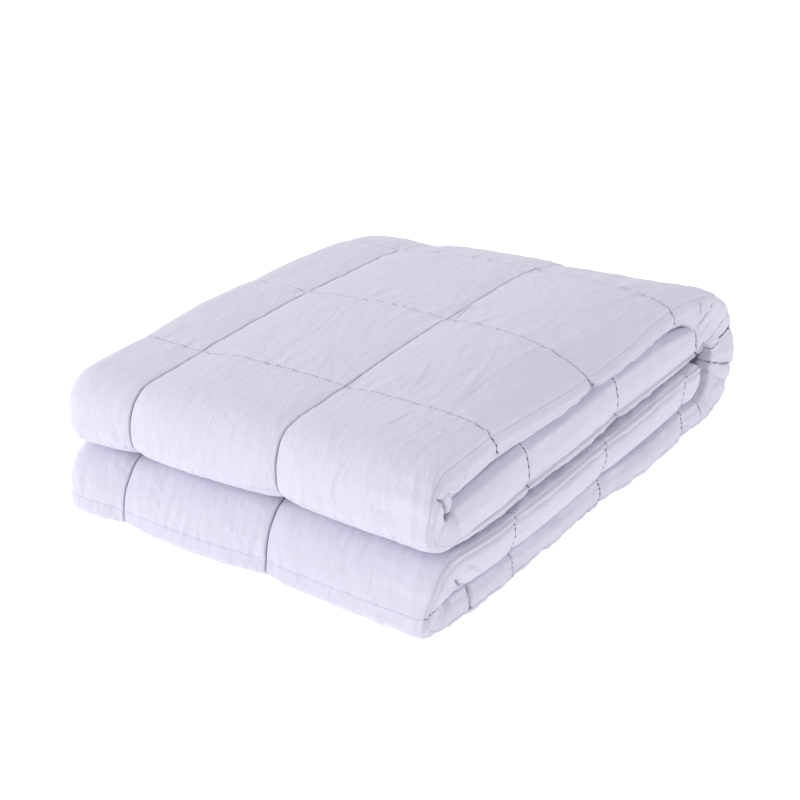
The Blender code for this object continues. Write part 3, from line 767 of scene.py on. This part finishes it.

# %% [markdown]
# ## Creases, one by one
#
# Noise gives a blanket some wrinkles, and not this blanket's. The creases that catch the eye are
# lines of their own: each with a height, a width, and its places on the cloth. They count in
# squares along the strip, so a crease near a cross seam stays there when the stack changes.
#
# Most of the places in this table weren't written by hand. The lines, heights and widths were
# chosen by eye in the photograph, and a separate script then cast rays from the camera onto the
# cloth and printed where each line lies. Only some lines of the tuck, the hem side and the big
# turn were set one by one. Whole millimetres, measured on the cloth, would be easier to change.

# %% Creases
CREASES = {
    # part of the blanket: height and half width in mm, and places: mm across, cross seam number
    "middle squares": (
        (0.45, 1.6, ((191.0, 3.921), (196.8, 4.011), (196.5, 4.071), (197.3, 4.228),
                     (195.0, 4.339), (198.2, 4.621))),
        (0.55, 1.6, ((194.0, 3.752), (192.5, 3.862), (191.0, 3.921))),
        (0.4, 2, ((233.0, 4.137), (231.9, 4.300), (226.1, 4.393), (214.4, 4.476))),
        (0.3, 2.2, ((228.6, 4.059), (226.3, 4.127), (222.9, 4.235), (214.7, 4.319))),
        (0.4, 2.4, ((184.1, 4.310), (191.3, 4.553), (199.3, 4.800), (201.1, 5.002))),
        (0.35, 2.4, ((192.5, 4.243), (195.0, 4.491), (206.2, 4.778), (209.3, 4.951))),
        (-0.45, 2, ((229.9, 4.890), (229.6, 4.958), (229.0, 5.022))),
        (0.35, 2, ((218.8, 5.056), (212.0, 5.124), (212.0, 5.244))),
        (-0.3, 2, ((205.0, 5.045), (206.6, 5.138), (208.4, 5.260))),
        (0.35, 2.2, ((177.1, 4.492), (183.9, 4.770), (185.4, 4.899))),
        (0.35, 2, ((162.0, 4.482), (165.7, 4.692), (164.4, 4.782))),
        (0.3, 2.2, ((205.0, 4.413), (215.1, 4.671), (218.8, 4.843))),
        (-0.35, 2, ((152.9, 5.146), (151.8, 5.268), (156.4, 5.460))),
        (0.3, 2, ((168.5, 5.473), (178.7, 5.711))),
        (0.35, 2, ((144.6, 5.246), (146.6, 5.396), (145.1, 5.489))),
        (0.28, 2.4, ((153.5, 4.621), (158.7, 4.800), (160.4, 5.003))),
        (0.25, 2.4, ((123.7, 4.443), (131.2, 4.619), (134.0, 4.802))),
        (0.3, 1.8, ((143.3, 3.964), (147.7, 4.061), (149.1, 4.145))),
        (0.3, 1.8, ((103.2, 4.145), (107.4, 4.256))),
    ),
    "tuck beside the second long seam": (
        (-1.8, 1.4, ((119.4, 4.990), (121.6, 5.064), (123.3, 5.159), (121.4, 5.260))),
        (0.6, 1.6, ((115.4, 5.005), (118.9, 5.145), (117.5, 5.233))),
        (-2.0, 1.3, ((124.4, 5.016), (115.2, 4.968), (109.0, 5.010))),
        (0.4, 2, ((120.9, 4.820), (115.8, 4.929), (108.9, 4.979))),
    ),
    "squares next to the hems": (
        (0.55, 1.5, ((82.0, 4.116), (87.1, 4.271), (93.0, 4.436))),
        (-0.45, 1.7, ((79.3, 4.115), (84.5, 4.268), (90.1, 4.434))),
        (0.45, 2.2, ((47.0, 3.969), (46.7, 4.128), (50.2, 4.300), (58.7, 4.589), (69.4, 4.802))),
        (-0.3, 2.4, ((43.8, 3.995), (47.1, 4.151), (48.2, 4.342), (54.2, 4.564))),
        (0.5, 1.6, ((62.6, 3.950), (64.1, 4.072), (63.0, 4.164))),
        (-0.4, 2, ((47.1, 4.320), (47.5, 4.404), (47.5, 4.492))),
        (0.35, 2.2, ((50.1, 4.166), (54.1, 4.350), (58.0, 4.524))),
        (0.35, 2, ((68.4, 4.230), (67.9, 4.338), (65.7, 4.429))),
        (0.3, 2, ((87.7, 4.050), (90.2, 4.134), (90.0, 4.208))),
        (0.3, 2.6, ((42.7, 4.595), (45.1, 4.768), (47.2, 4.986))),
        (0.3, 2.2, ((19.5, 4.498), (24.3, 4.642), (24.7, 4.775))),
        (0.25, 2.2, ((78.3, 4.648), (83.6, 4.813), (84.8, 4.952))),
        (0.5, 1.8, ((69.4, 3.599), (65.4, 3.775), (63.7, 3.910), (64.0, 4.050))),
        (-0.3, 2.2, ((65.2, 3.602), (62.5, 3.776), (59.8, 3.897))),
        (0.4, 1.8, ((38.5, 3.651), (37.0, 3.745), (37.1, 3.873))),
        (0.3, 2, ((55.6, 3.744), (55.8, 3.850), (55.3, 3.953))),
        (-0.3, 2, ((82.0, 5.423), (90.5, 5.605), (95.8, 5.765))),
        (0.3, 2, ((128.4, 5.475), (122.9, 5.616))),
        (0.3, 2.4, ((90.9, 5.119), (98.5, 5.297), (99.0, 5.399))),
        (0.3, 2.2, ((47.3, 5.023), (49.6, 5.140), (51.2, 5.240))),
        (0.25, 2.4, ((56.8, 5.335), (64.1, 5.505), (67.1, 5.616))),
    ),
    "upper fold": (
        (0.55, 2.2, ((73.4, 3.388), (75.1, 3.313), (77.9, 3.216), (80.8, 3.103))),
        (-0.35, 2.2, ((69.5, 3.379), (72.1, 3.301), (75.2, 3.203), (78.3, 3.090))),
        (0.3, 2.4, ((44.9, 3.233), (47.0, 3.153), (49.6, 3.008))),
        (0.25, 2.4, ((122.6, 3.337), (114.2, 3.315), (104.3, 3.304))),
        (0.22, 2.6, ((133.6, 3.292), (133.0, 3.221), (130.7, 3.150))),
        (0.22, 2.4, ((208.9, 3.289), (208.3, 3.208), (206.2, 3.126))),
        (0.25, 2.4, ((195.1, 3.338), (197.7, 3.267), (197.8, 3.182))),
        (0.22, 2.6, ((159.0, 3.291), (158.7, 3.223), (156.2, 3.139))),
    ),
    "lower fold": (
        (0.45, 1.8, ((234.4, 11.204), (228.5, 11.168), (222.0, 11.114), (217.5, 11.069))),
        (0.4, 1.6, ((231.7, 11.258), (223.1, 11.223), (217.6, 11.170))),
        (0.35, 1.8, ((234.9, 11.153), (230.0, 11.111), (224.9, 11.066))),
        (0.35, 1.8, ((216.0, 11.258), (213.4, 11.201), (209.4, 11.156))),
        (0.4, 2, ((184.3, 11.069), (185.3, 10.982))),
        (0.35, 2, ((196.9, 11.069), (195.5, 10.992), (195.4, 10.894))),
        (0.35, 2, ((175.6, 11.037), (176.9, 10.957))),
        (0.3, 2.2, ((132.0, 11.182), (129.7, 11.088), (127.7, 10.993))),
        (0.3, 2.2, ((149.2, 11.278), (147.8, 11.192), (147.9, 11.112))),
        (0.3, 2, ((158.6, 11.226), (157.5, 11.159), (156.4, 11.091))),
        (0.35, 1.8, ((273.9, 11.298), (266.6, 11.247), (259.6, 11.201))),
        (-0.4, 1.8, ((270.8, 11.322), (262.5, 11.277), (255.4, 11.245))),
        (0.3, 2, ((281.8, 11.191), (280.1, 11.117), (276.6, 11.046))),
        (0.3, 1.6, ((111.2, 10.979), (107.3, 10.936))),
        (0.3, 1.6, ((107.5, 11.013), (100.5, 10.971), (98.4, 10.905))),
        (0.28, 2, ((144.8, 3.138), (145.4, 3.023))),
    ),
    "hem side": (
        (-1.2, 1.2, ((4.8, 3.675), (1.7, 3.667), (-1.4, 3.655))),
        (0.6, 1.8, ((3.5, 3.701), (0.1, 3.700), (-3.1, 3.685))),
        (-4.4, 1.5, ((5.0, 3.330), (1.8, 3.318), (-9.7, 3.324), (-13.0, 3.267),
                     (-16.4, 3.100), (-19.0, 2.930))),
        (-2.6, 2.4, ((-13.0, 3.240), (-17.5, 3.100), (-22.0, 2.900), (-20.0, 2.800))),
        (0.8, 1.4, ((-23.6, 2.923), (-17.3, 2.832), (-11.5, 2.769))),
        (-1.1, 1.5, ((-20.8, 2.760), (-15.1, 2.749), (-5.0, 2.695))),
        (-0.6, 3, ((-20.9, 2.483), (-16.7, 2.474), (-11.4, 2.454))),
        (0.5, 3, ((-21.3, 2.555), (-16.9, 2.563), (-10.5, 2.558))),
        (-0.5, 3, ((-21.3, 2.628), (-17.6, 2.630), (-12.3, 2.609))),
        (0.4, 2.5, ((-23.1, 1.728), (-17.5, 1.706), (-13.2, 1.674))),
        (-0.45, 2.5, ((-23.9, 1.777), (-17.7, 1.761), (-13.4, 1.738))),
        (-0.4, 2.5, ((-21.1, 1.568), (-17.6, 1.568), (-14.1, 1.570))),
        (-1.4, 1.6, ((-10.4, 11.502), (-13.7, 11.579), (-20.7, 11.699))),
        (-3.2, 1.3, ((-13.0, 11.355), (-15.7, 11.388), (-20.8, 11.492), (-22.5, 11.566))),
        (0.5, 2, ((3.4, 11.585), (-11.3, 11.657), (-17.6, 11.697))),
        (-3.6, 1.5, ((-26.0, 10.425), (-16.8, 10.434), (-12.7, 10.440), (-2.0, 10.420))),
        (0.6, 1.8, ((-19.7, 10.404), (-15.1, 10.411), (-11.0, 10.411))),
        (-1.8, 1.1, ((-22.3, 10.005), (-16.7, 9.989))),
        (-0.9, 1.2, ((-16.7, 9.989), (-4.5, 9.952))),
    ),
    "big turn": (
        (-2.4, 1.4, ((8.0, 6.330), (0.2, 6.346), (-6.0, 6.389), (-14.0, 6.420))),
        (-2.4, 1.4, ((4.0, 6.480), (-4.1, 6.500), (-9.6, 6.510), (-22.0, 6.500))),
        (0.7, 2, ((-9.0, 6.310), (-4.0, 6.330), (2.0, 6.340))),
        (0.7, 2, ((-12.0, 6.400), (-5.0, 6.440), (3.0, 6.430))),
        (-1.0, 1.8, ((-42.0, 6.640), (-22.0, 6.620), (-8.0, 6.640))),
        (-2.0, 1.3, ((-40.0, 6.830), (-27.8, 6.810), (-13.5, 6.839), (8.0, 6.880))),
        (0.7, 2, ((-38.0, 6.900), (-18.3, 6.910), (-5.5, 6.930))),
        (-1.0, 1.8, ((-40.0, 7.090), (-22.0, 7.080), (-8.0, 7.090))),
        (0.6, 2, ((-36.0, 7.150), (-20.0, 7.140), (-8.0, 7.160))),
        (-2.8, 1.4, ((-44.0, 7.202), (-25.6, 7.202), (-14.1, 7.236), (8.0, 7.260))),
        (-1.4, 1.8, ((-36.0, 7.380), (-23.8, 7.361), (-17.0, 7.371), (4.0, 7.380))),
    ),
}
CREASE_FADE = 0.3           # share of its length over which a crease fades at either end
CREASE_END = 0.15           # how far into that fade it is at its very ends


def crease_heights(columns, along):
    """Sum of the creases: height (1 - (distance / width)^2)^2, fading at both ends of each line."""
    sheet = columns["girth"] + FACE_EDGE
    heights = np.zeros((len(along), len(sheet)))

    def beside(values, spots, width):
        return np.flatnonzero((values > spots.min() - width) & (values < spots.max() + width))

    for height, width, line in (crease for group in CREASES.values() for crease in group):
        width = width / 1000
        spots = np.array([(across / 1000, length_of(number)) for across, number in line])
        steps = np.diff(spots, axis=0)
        sizes = np.hypot(*steps.T)
        near_columns, near_rows = beside(sheet, spots[:, 0], width), beside(along, spots[:, 1], width)
        if len(near_rows) == 0 or len(near_columns) == 0:
            continue
        x, y = sheet[near_columns][None, :], along[near_rows][:, None]
        best = np.full((len(near_rows), len(near_columns)), FAR)
        share = np.zeros_like(best)
        for number, ((x0, y0), (dx, dy), size) in enumerate(zip(spots, steps, sizes)):
            part = np.clip(((x - x0) * dx + (y - y0) * dy) / size ** 2, 0, 1)
            distance = np.hypot(x - x0 - part * dx, y - y0 - part * dy)
            closer = distance < best
            best = np.where(closer, distance, best)
            share = np.where(closer, (sizes[:number].sum() + part * size) / sizes.sum(), share)
        fade = ease(np.minimum(share, 1 - share) / CREASE_FADE + CREASE_END)
        profile = np.clip(1 - (best / width) ** 2, 0, 1) ** 2
        heights[np.ix_(near_rows, near_columns)] += height / 1000 * profile * fade
    return heights


print("creases:", sum(len(group) for group in CREASES.values()))

# %% [markdown]
# ## The skin, one length after another
#
# The whole skin in one mesh would be too heavy, so it is parted where the eye expects a line
# anyway, at cross seams. Each length is a closed sleeve with a lid at either end, and the lids of
# two neighbours lie against each other inside the cloth.

# %% The grid of a sleeve
SIDE_PINCH = {"hanging": 0.0008, "tucked": 0.0022}      # how far a cross seam draws the hem side in


def skin_grid(lengths, columns):
    """Points, normals and UVs of a grid. One extra row at either end keeps the normals true."""
    rows = rows_at(lengths)
    across, through = places(rows, columns)
    bulge = 4 * through * (1 - through) * (across < SQUARE / 2)     # 1 half way from back to face
    pinch = SIDE_PINCH["tucked"] + (SIDE_PINCH["hanging"] - SIDE_PINCH["tucked"]) * rows["hanging"]
    across = across + pinch * dome_dip(rows["seam"], 1.0) * bulge
    points = stack_points(rows, across, through)
    height = wrinkles(rows, columns, across, through) - sewn_dip(rows, columns, across, through)
    height = (height + crease_heights(columns, lengths)) * rows["thickness"]
    points = points + outward(points) * height[..., None]
    points[..., 2] = np.maximum(points[..., 2], 0)    # the table holds it up
    cloth = np.stack(np.broadcast_arrays(columns["girth"], rows["length"]), axis=-1)
    return points, outward(points), cloth

# %% Painted shade in the seams and deep creases
LONG_SHADE, CROSS_SHADE, HEM_SHADE = 0.0009, 0.0010, 0.0006     # half widths of the painted shade
CROSS_SHARE = {"top": 0.50, "lower": 0.04, "hem side": 1.80}    # how much painted shade the cross seams get
SIDE_SPAN = (-0.012, -0.018)        # girth where the hem side starts, and is fully so
DEEP_SHADE = (-0.0009, -0.0030)     # a crease this low starts to get painted shade, and is fully shaded


def painted_seam_shades(columns, along, seams):
    """How much painted shade each point gets in the long, cross and hem seams: 1 at a seam, eased to 0
    beside it.

    Deep tucks and creases get it as long seams do, and so do the cross seams on the hem side of the
    big turn. The cross seams are weighted by where they lie.
    """
    rows = rows_at(along)
    on_face = columns["through"] == 1
    to_long = np.where(on_face, to_seam(np.maximum(columns["across"], SQUARE / 2) / SQUARE), FAR)
    to_cross = np.min([np.abs(along - seam) for seam in seams + [FAR]], axis=0)[:, None]
    on_side = between(columns["girth"], *SIDE_SPAN)
    crease_shade = np.maximum(between(crease_heights(columns, along), *DEEP_SHADE),
                      near(to_cross, 2 * CROSS_SHADE) * on_side * rows["gathered"])
    share = CROSS_SHARE["top"] + (CROSS_SHARE["lower"] - CROSS_SHARE["top"]) * rows["lower"]
    share = (share + (CROSS_SHARE["hem side"] - share) * on_side) * (1 - rows["turned in"])
    flat = (1 - rows["turned in"]) * (1 - rows["gathered"])
    return {"long_seam_crease_painted_shade": np.maximum(near(to_long, LONG_SHADE), crease_shade),
            "cross_seam_painted_shade": near(to_cross, CROSS_SHADE) * share,
            "hem_seam_painted_shade": near(columns["from hem line"], HEM_SHADE) * flat}

# %% The mesh of a sleeve
def skin_mesh(name, points, cloth, shades, seam_rows, seam_columns):
    """Quads between the rows, columns closed, a lid at each end, and sharp edges on the seams."""
    count, around = points.shape[:2]
    index = np.arange(count * around).reshape(count, around)
    beside = np.roll(index, -1, axis=1)
    quads = np.stack([index[:-1], beside[:-1], beside[1:], index[1:]], axis=-1).reshape(-1, 4)
    corners = np.concatenate([quads.ravel(), index[0][::-1], index[-1]])
    starts = np.append(np.arange(len(quads)) * 4, [len(quads) * 4, len(quads) * 4 + around])
    mesh = bpy.data.meshes.new(name)
    mesh.vertices.add(count * around)
    mesh.vertices.foreach_set("co", points.astype(np.float32).ravel())
    mesh.loops.add(len(corners))
    mesh.loops.foreach_set("vertex_index", corners.astype(np.int32))
    mesh.polygons.add(len(starts))
    mesh.polygons.foreach_set("loop_start", starts.astype(np.int32))
    mesh.update(calc_edges=True)
    mesh.validate()
    smooth = np.ones(len(starts), dtype=bool)
    smooth[-2:] = False
    mesh.polygons.foreach_set("use_smooth", smooth)
    layer = mesh.uv_layers.new(name="cloth")
    layer.data.foreach_set("uv", cloth.reshape(-1, 2)[corners].astype(np.float32).ravel())
    ends = np.empty(len(mesh.edges) * 2, dtype=np.int32)
    mesh.edges.foreach_get("vertices", ends)
    row, column = np.divmod(ends.reshape(-1, 2).T, around)
    sharp = (((row[0] == row[1]) & np.isin(row[0], seam_rows))
             | ((column[0] == column[1]) & np.isin(column[0], seam_columns)))
    attribute = mesh.attributes.new("sharp_edge", "BOOLEAN", "EDGE")
    attribute.data.foreach_set("value", sharp)
    for shade, values in shades.items():
        attribute = mesh.attributes.new(shade, "FLOAT", "POINT")
        values = np.broadcast_to(values, (count, around))
        attribute.data.foreach_set("value", values.astype(np.float32).ravel())
    return mesh


def finished(name, mesh, material, skin=True):
    """A piece in the scene, riding on the blanket's body."""
    mesh.materials.append(material)
    piece = bpy.data.objects.new(name, mesh)
    bpy.context.scene.collection.objects.link(piece)
    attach(piece, "root")
    if skin:
        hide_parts("blanket")

# %% Rows of a length
END_ROWS = 14
END_ANGLE = 0.16            # radians: the first row, so that the end isn't a sharp line
END_STEPS = END_ROUND * (1 - np.cos(np.linspace(END_ANGLE, np.pi / 2, END_ROWS)))


def rows_between(first, last, step):
    """Rows from one cross seam to another, the seams among them, and the slice to keep.

    Where the strip ends, its rows follow the round of the end. Elsewhere there is one row too
    many, which is there only to give its neighbour a true normal.
    """
    total = PATH["length"][-1]
    start = END_STEPS[-1] if first is None else length_of(first)
    end = total - END_STEPS[-1] if last is None else length_of(last)
    seams = [length_of(number) for number in range(LAST_SEAM + 1)]
    seams = [seam for seam in seams if start - TINY <= seam <= end + TINY]
    before = END_STEPS[:-1] if first is None else [start - step]
    after = total - END_STEPS[-2::-1] if last is None else [end + step]
    keep = slice(0 if first is None else 1, None if last is None else -1)
    return np.concatenate([before, near_seams(start, end, step, seams), after]), seams, keep

# %% The six lengths
LENGTHS = {
    # piece:               cross seams at its ends, step along it, columns
    "upper_flap":           ((None, 3), 0.0026, FINE),
    "top_front":            ((3, 5), 0.0014, FINE),
    "top_back":             ((5, 8), 0.0019, FINE),
    "underside":            ((8, 10), 0.0022, COARSE),
    "lower_front":          ((10, 12), 0.0014, FINE),
    "lower_flap":           ((12, None), 0.0020, COARSE),
}

skins = {}
for name, ((first, last), step, columns) in LENGTHS.items():
    along, seams, keep = rows_between(first, last, step)
    points, normals, cloth = (grid[keep] for grid in skin_grid(along, columns))
    along = along[keep]
    seam_rows = [int(np.abs(along - seam).argmin()) for seam in seams]
    mesh = skin_mesh(name, points, cloth, painted_seam_shades(columns, along, seams), seam_rows,
                     columns["long seams"])
    finished(name, mesh, cotton_finish)
    skins[name] = {"points": points, "normals": normals, "along": along, "columns": columns,
                   "seam rows": seam_rows}
    print(name, "has", len(along), "rows,", 2 * points.shape[0] * points.shape[1], "triangles")

# %% [markdown]
# ## Stitches
#
# The cross seams and the hem are sewn with a thread that shows. Each stitch is a short piece of
# thread that dips into the cloth at both ends. A curve with a bevel would make them too, with far
# more faces. Here all of them are one array: rings of six points along a small arc.

# %% Lines to sew
SEWN_FROM = -0.045          # girth: the cross seams run on over the hem side, to here
HEM_SHOWS = 0.3             # share of the turned in shape at which the hem goes out of sight
SEAM_SHOWS = 0.5            # and at which a cross seam does
ROWS_LEFT = 3               # the hem's stitches start this many rows from the ends of a length


def sewing_lines(skin):
    """Points, normals and cloth lengths along each cross seam and the hem line of a skin."""
    girth = skin["columns"]["girth"]
    order = np.argsort(girth)
    order = order[(girth[order] > SEWN_FROM) & (girth[order] < WIDTH)]
    turned = rows_at(skin["along"])["turned in"][:, 0]
    lines = [(skin["points"][row, order], skin["normals"][row, order], girth[order])
             for row in skin["seam rows"][:-1] if turned[row] < SEAM_SHOWS]
    hem = int(np.abs(skin["columns"]["from hem line"]).argmin())
    shown = np.flatnonzero(turned < HEM_SHOWS)[ROWS_LEFT:-ROWS_LEFT]
    return lines + [(skin["points"][shown, hem], skin["normals"][shown, hem], skin["along"][shown])]

# %% Stitches
STITCH_LENGTH = 0.0022
STITCH_RISE, STITCH_DIP = 0.00028, 0.0001       # of its middle out of the cloth, of its ends into it
STITCH_SHARES = np.array((0.0, 0.18, 0.5, 0.82, 1.0))   # where its rings are
THREAD_RADIUS, THREAD_TIP = 0.00024, 0.35       # the tip as a share of the radius
RING_POINTS = 6


def stitches(points, normals, length):
    """Capsules along a line: rings of six points on an arc, radius and rise as sines of the share."""
    numbers = np.arange(math.ceil(length[0] / STITCH_PITCH), math.floor(length[-1] / STITCH_PITCH))
    at = (numbers[:, None] + 0.5) * STITCH_PITCH + (STITCH_SHARES - 0.5) * STITCH_LENGTH

    def along(values):
        return np.stack([np.interp(at, length, values[:, axis]) for axis in range(3)], axis=-1)

    middle, up = along(points), along(normals)
    up = up / np.linalg.norm(up, axis=-1, keepdims=True)
    forward = np.gradient(middle, axis=1)
    forward = forward / np.maximum(np.linalg.norm(forward, axis=-1, keepdims=True), TINY)
    aside = np.cross(forward, up)
    arc = np.sin(np.pi * STITCH_SHARES)[:, None]
    radius = THREAD_RADIUS * (THREAD_TIP + (1 - THREAD_TIP) * arc[..., None])
    angle = np.linspace(0, 2 * np.pi, RING_POINTS, endpoint=False)[:, None]
    ring = np.cos(angle) * aside[..., None, :] + np.sin(angle) * up[..., None, :]
    return (middle + up * (STITCH_RISE * arc - STITCH_DIP))[..., None, :] + radius * ring


def stitch_mesh(name, rings):
    """One mesh of all stitches: quads between the rings and a hexagon at each end."""
    count, steps, around = rings.shape[:3]
    index = np.arange(count * steps * around).reshape(count, steps, around)
    beside = np.roll(index, -1, axis=2)
    quads = np.stack([index[:, :-1], index[:, 1:], beside[:, 1:], beside[:, :-1]], axis=-1).reshape(-1, 4)
    mesh = bpy.data.meshes.new(name)
    faces = quads.tolist() + index[:, 0].tolist() + index[:, -1, ::-1].tolist()
    mesh.from_pydata(rings.reshape(-1, 3).tolist(), [], faces)
    mesh.shade_smooth()
    return mesh


thread_finish = Finish("sewing_thread", Base_Color=(0.66, 0.64, 0.75, 1.0), Roughness=0.7)
for name, skin in skins.items():
    rings = np.concatenate([stitches(*line) for line in sewing_lines(skin)])
    name = "stitches_" + name
    finished(name, stitch_mesh(name, rings), thread_finish.material, skin=False)
    print(name, "has", len(rings), "stitches")

# %% [markdown]
# ## Floor and light
#
# A high-key studio: a white floor, a bright room all round, and one large soft light on the
# left, which makes the front folds a little brighter than the top and the hem side darker. Two
# weaker ones lift the top and the side. A photographed studio could light it all round as well,
# but cotton mirrors nothing, so a plain white world does. The floor glows a little too, so that
# it stays white under the stack.

# %% Floor
FLOOR_HALF = 6.0
FLOOR_BELOW = 0.0005        # it lies this far under the stack, so that the two never share a plane

floor_mesh = bpy.data.meshes.new("floor")
floor_corners = [(FLOOR_HALF * x, FLOOR_HALF * y, -FLOOR_BELOW)
                 for x, y in ((-1, -1), (1, -1), (1, 1), (-1, 1))]
floor_mesh.from_pydata(floor_corners, [], [(0, 1, 2, 3)])
floor_finish = Finish("floor_white", Base_Color=(0.93, 0.93, 0.93, 1), Roughness=0.7,
                      Emission_Color=(1, 1, 1, 1), Emission_Strength=0.48)
floor_mesh.materials.append(floor_finish.material)
floor = bpy.data.objects.new("floor", floor_mesh)
bpy.context.scene.collection.objects.link(floor)
print("the floor is", 2 * FLOOR_HALF, "m wide")

# %% Light
ROOM_STRENGTH = 0.76
LIGHTS = {
    # light:       place,              size, power
    "key":         ((-2.2, -2.0, 1.2), 1.3, 34.0),
    "top":         ((-0.8, 0.5, 2.3), 1.8, 9.0),
    "fill":        ((2.3, 0.2, 0.6), 1.4, 4.0),
}
LIT_PLACE = Vector((0, 0, 0.06))        # they all aim at the middle of the stack

room = bpy.data.worlds.new("room")
room.use_nodes = True
room.node_tree.nodes["Background"].inputs["Color"].default_value = (1, 1, 1, 1)
room.node_tree.nodes["Background"].inputs["Strength"].default_value = ROOM_STRENGTH
bpy.context.scene.world = room
for name, (place, size, power) in LIGHTS.items():
    light = bpy.data.objects.new(name, bpy.data.lights.new(name, "AREA"))
    light.data.shape = "DISK"
    light.data.size = size
    light.data.energy = power
    light.location = place
    light.rotation_euler = (LIT_PLACE - Vector(place)).to_track_quat("-Z", "Y").to_euler()
    bpy.context.scene.collection.objects.link(light)
bpy.context.scene.view_settings.view_transform = "Standard"
print("lights:", ", ".join(LIGHTS))
